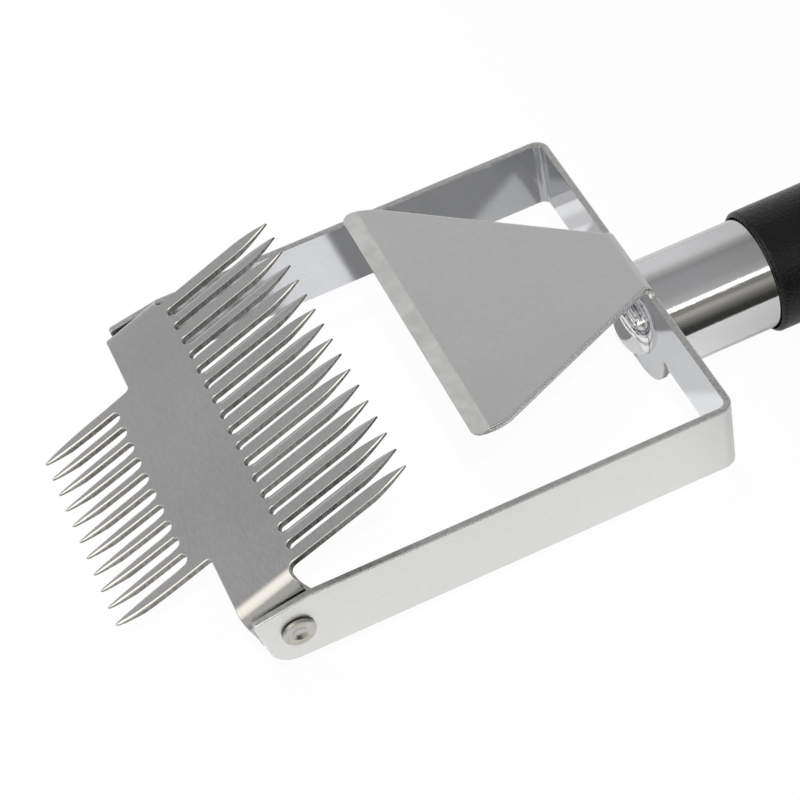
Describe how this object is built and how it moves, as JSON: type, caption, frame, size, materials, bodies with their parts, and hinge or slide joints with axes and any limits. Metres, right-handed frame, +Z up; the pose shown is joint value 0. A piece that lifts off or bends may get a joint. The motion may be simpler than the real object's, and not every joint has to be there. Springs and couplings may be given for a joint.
{
  "type": "uncapping fork",
  "caption": "Beekeeping fork with a double-sided swivelling comb of tines in a U-shaped steel frame, a folded scraper blade and a round gripped handle.",
  "frame": {"origin": "middle of the underside of the tool's bounding box, level with the lowest line of the grip", "axes": "+X along the handle towards its tail, +Y across the tool along the comb's pivot, +Z up towards the side that the blade is folded on"},
  "size_m": [0.2798, 0.0922, 0.0481],
  "materials": {
    "satin_steel": "satin, softly brushed",
    "comb_steel": "satin with polished edges",
    "bright_steel": "bright",
    "chrome": "mirror",
    "zinc_plate": "zinc plated",
    "grip_rubber": "matte black, fine pebble grain",
    "cap_plastic": "satin black"
  },
  "bodies": {
    "frame": {"frame_and_blade": "satin_steel", "near_pivot_rivet": "bright_steel", "far_pivot_rivet": "bright_steel", "near_rivet_washer": "zinc_plate", "far_rivet_washer": "zinc_plate", "handle_bolt": "chrome", "tube_plug": "zinc_plate", "bolt_washer": "zinc_plate", "spring_washer": "zinc_plate", "bolt_nut": "zinc_plate", "handle_tube": "chrome", "grip_sleeve": "grip_rubber", "end_cap": "cap_plastic"},
    "comb": {"comb": "comb_steel"}
  },
  "joints": [
    {"name": "comb_swivel", "type": "hinge", "parent": "frame", "child": "comb", "pos_m": [-0.10791, 0, 0.0238], "axis": [0, 1, 0], "continuous": true}
  ]
}
